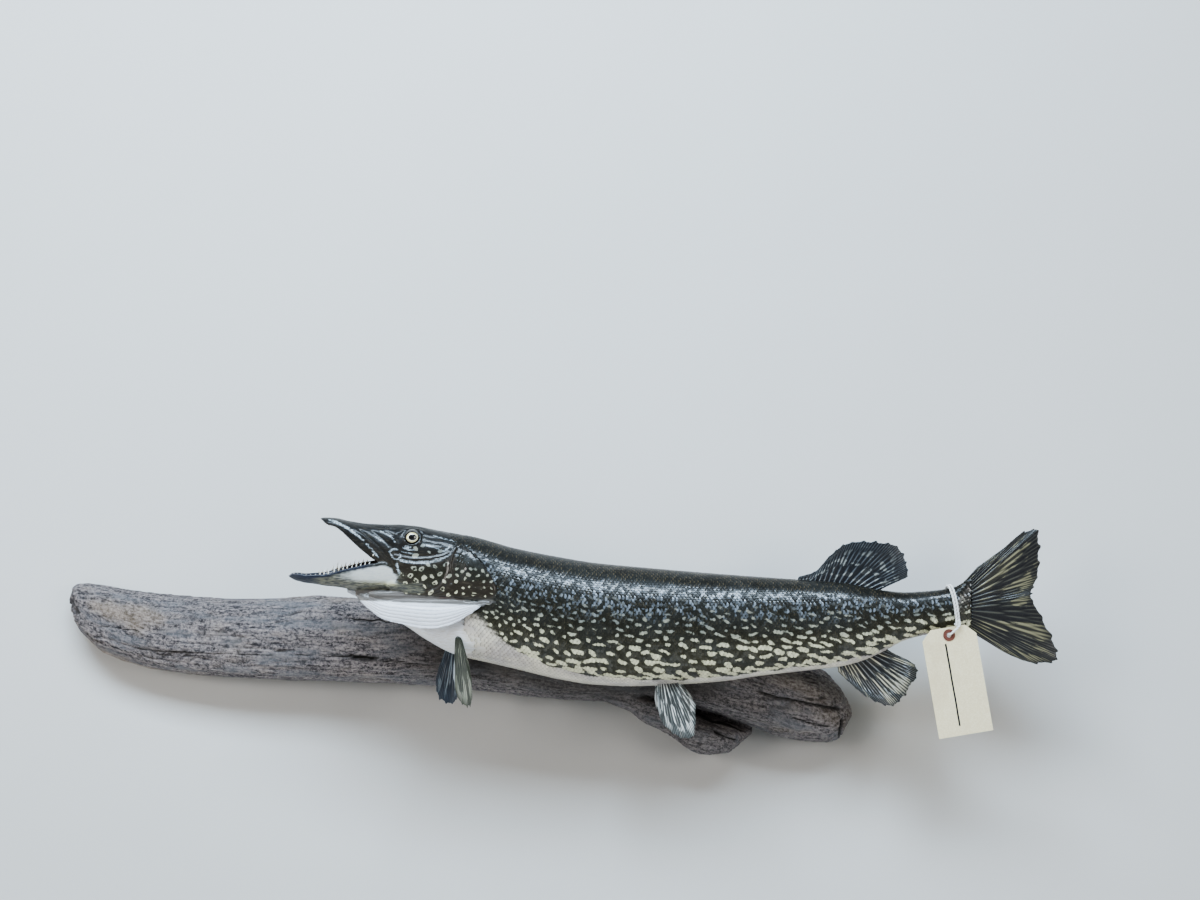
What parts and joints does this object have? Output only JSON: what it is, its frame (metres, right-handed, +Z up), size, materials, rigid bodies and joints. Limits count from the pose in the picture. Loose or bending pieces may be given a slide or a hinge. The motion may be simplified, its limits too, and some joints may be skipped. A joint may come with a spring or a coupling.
{
  "type": "mounted northern pike on driftwood",
  "caption": "Life-size mounted pike with its mouth open and head swung outwards, seated on a flat-backed length of driftwood that hangs on a wall, with a card tag tied to the tail.",
  "frame": {"origin": "on the flat sawn back of the driftwood, behind the middle of the fish's body", "axes": "+X from the fish's head to its tail along the wall, +Y into the wall, +Z up"},
  "size_m": [1.1359, 0.1658, 0.2817],
  "materials": {
    "driftwood": "weathered grey, pitted along the grain",
    "steel": "bright zinc plate",
    "fish_skin": "painted skin with small scales under gloss varnish",
    "pale_skin": "white, glossy, finely lined",
    "mouth": "pink-brown under gloss varnish",
    "eye": "glass eye, pale yellow iris and black pupil",
    "fin": "ribbed by rays, streaked, glossy",
    "card": "uncoated manila card",
    "ring_paper": "pressed red-brown paper",
    "cotton": "white twisted cotton"
  },
  "bodies": {
    "root": {"driftwood": "driftwood", "hanger_left": "steel", "hanger_left_nail_1": "steel", "hanger_left_nail_2": "steel", "hanger_right": "steel", "hanger_right_nail_1": "steel", "hanger_right_nail_2": "steel", "head": "fish_skin", "lower_jaw": "fish_skin", "tongue": "mouth", "eye_left": "eye", "eye_right": "eye", "gill_cover_left": "fish_skin", "gill_cover_right": "fish_skin", "gill_membrane_left": "pale_skin", "gill_membrane_right": "pale_skin", "throat": "pale_skin", "trunk_front": "fish_skin", "trunk_rear": "fish_skin", "tail_stem": "fish_skin", "dorsal_fin": "fin", "anal_fin": "fin", "caudal_fin": "fin", "pectoral_fin_left": "fin", "pectoral_fin_right": "fin", "pelvic_fin_left": "fin", "pelvic_fin_right": "fin", "tag": "card", "tag_ring": "ring_paper", "tag_string": "cotton"}
  },
  "joints": []
}
